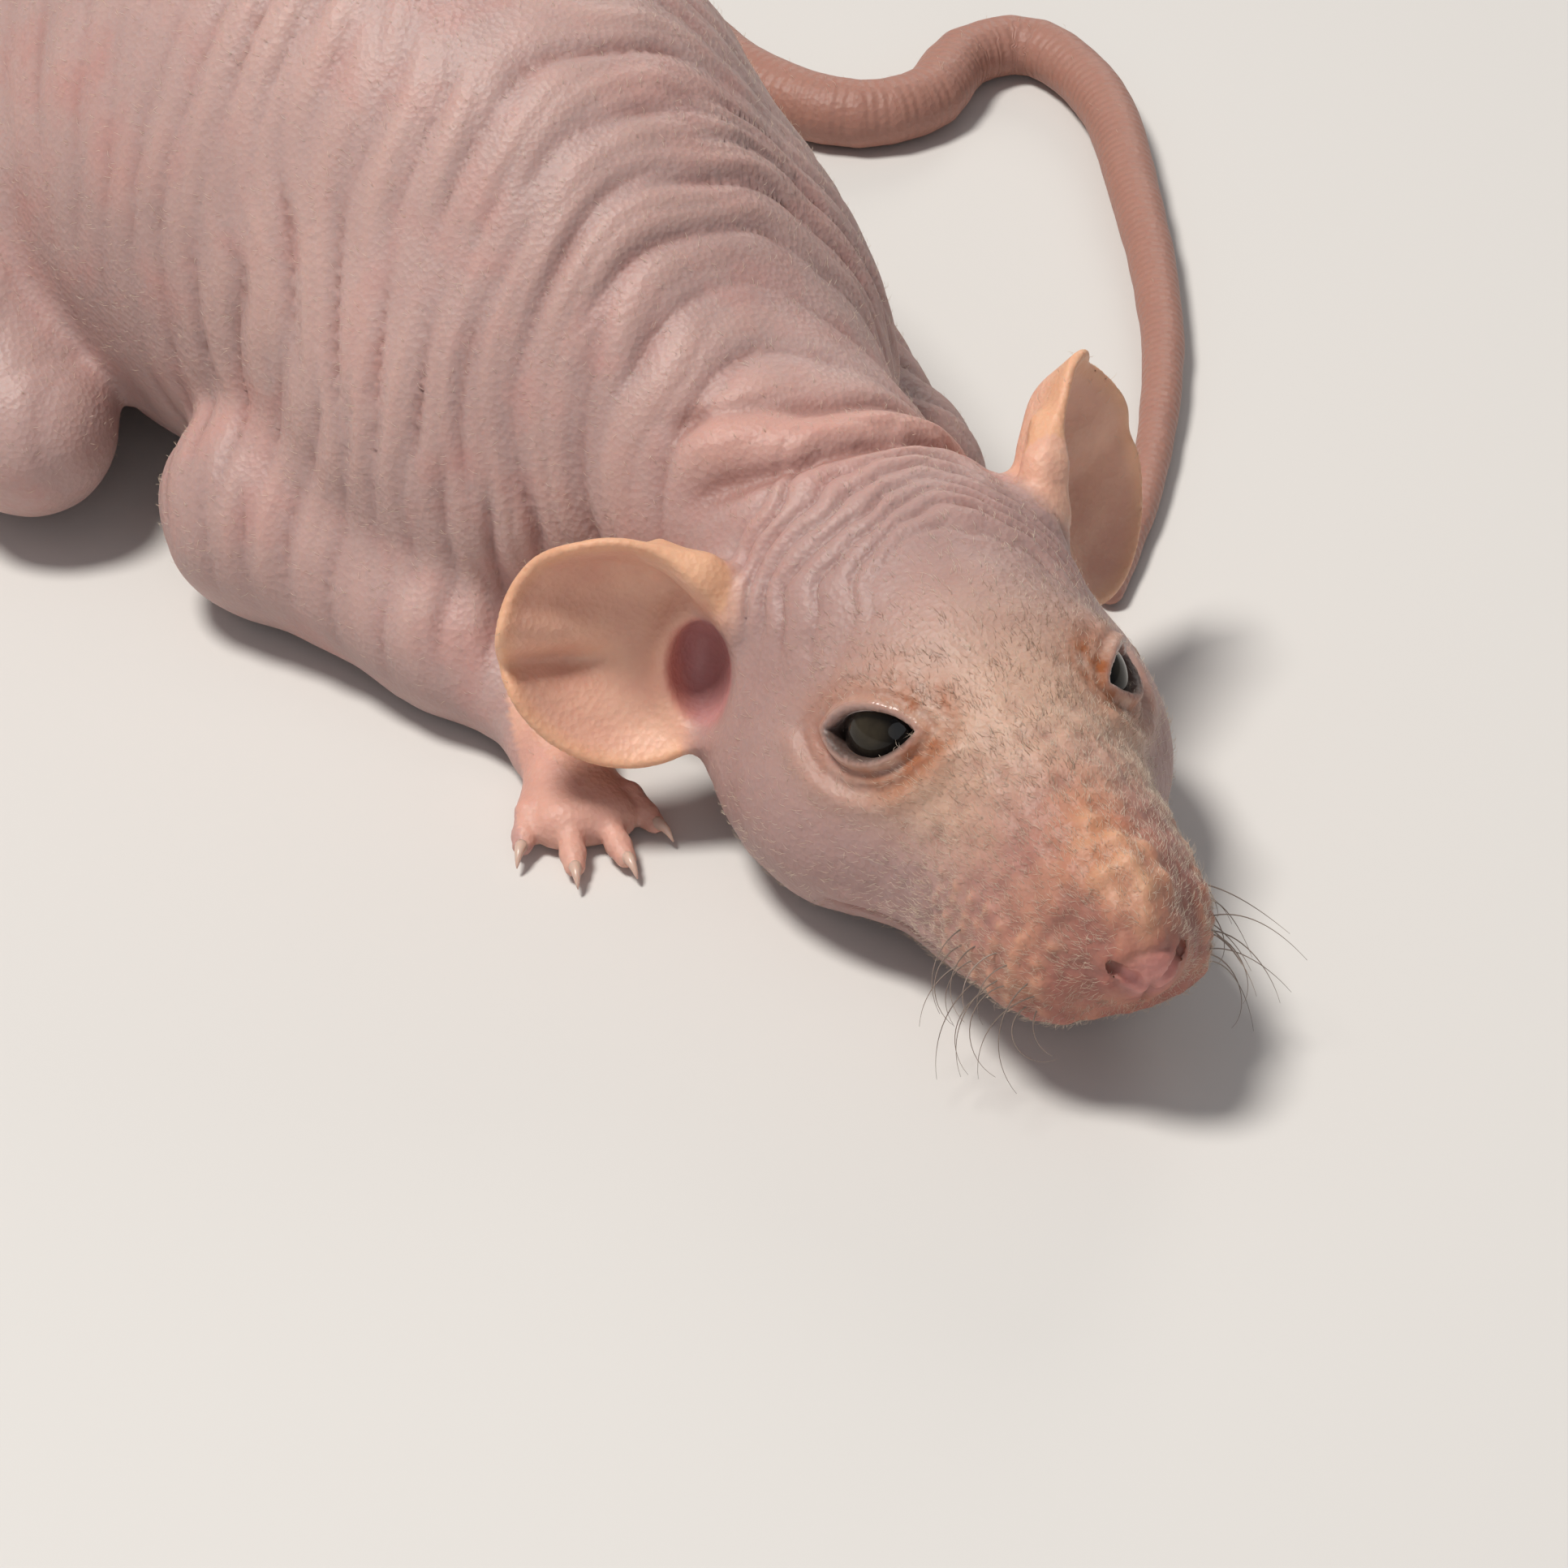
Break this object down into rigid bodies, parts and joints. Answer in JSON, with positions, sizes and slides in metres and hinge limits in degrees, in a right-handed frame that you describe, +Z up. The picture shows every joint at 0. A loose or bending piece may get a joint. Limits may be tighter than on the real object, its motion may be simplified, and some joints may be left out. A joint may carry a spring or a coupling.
{
  "type": "hairless dumbo rat, museum model",
  "caption": "Life-size still model of a hairless dumbo rat crouching with its chin on the floor, head turned and tail looped beside it.",
  "frame": {"origin": "on the floor under the chest, on the flat of the belly", "axes": "the rat faces -Y, its left side is +X, +Z is up"},
  "size_m": [0.1155, 0.1823, 0.0511],
  "materials": {
    "skin": "soft satin, wrinkled bare skin",
    "ear_skin": "thin smooth satin skin",
    "tail_skin": "ringed satin skin",
    "eye": "wet gloss",
    "whisker": "fine satin hair",
    "claw": "smooth horn"
  },
  "bodies": {
    "root": {"head": "skin", "neck": "skin", "torso": "skin", "eye_left": "eye", "eye_right": "eye", "ear_left": "ear_skin", "ear_right": "ear_skin", "hind_leg_left": "skin", "hind_leg_right": "skin", "hind_foot_left": "skin", "hind_foot_right": "skin", "fore_leg_left": "skin", "fore_leg_right": "skin", "fore_foot_left": "skin", "fore_foot_right": "skin", "tail_1": "tail_skin", "tail_2": "tail_skin", "tail_3": "tail_skin", "tail_4": "tail_skin", "tail_5": "tail_skin"}
  },
  "joints": []
}
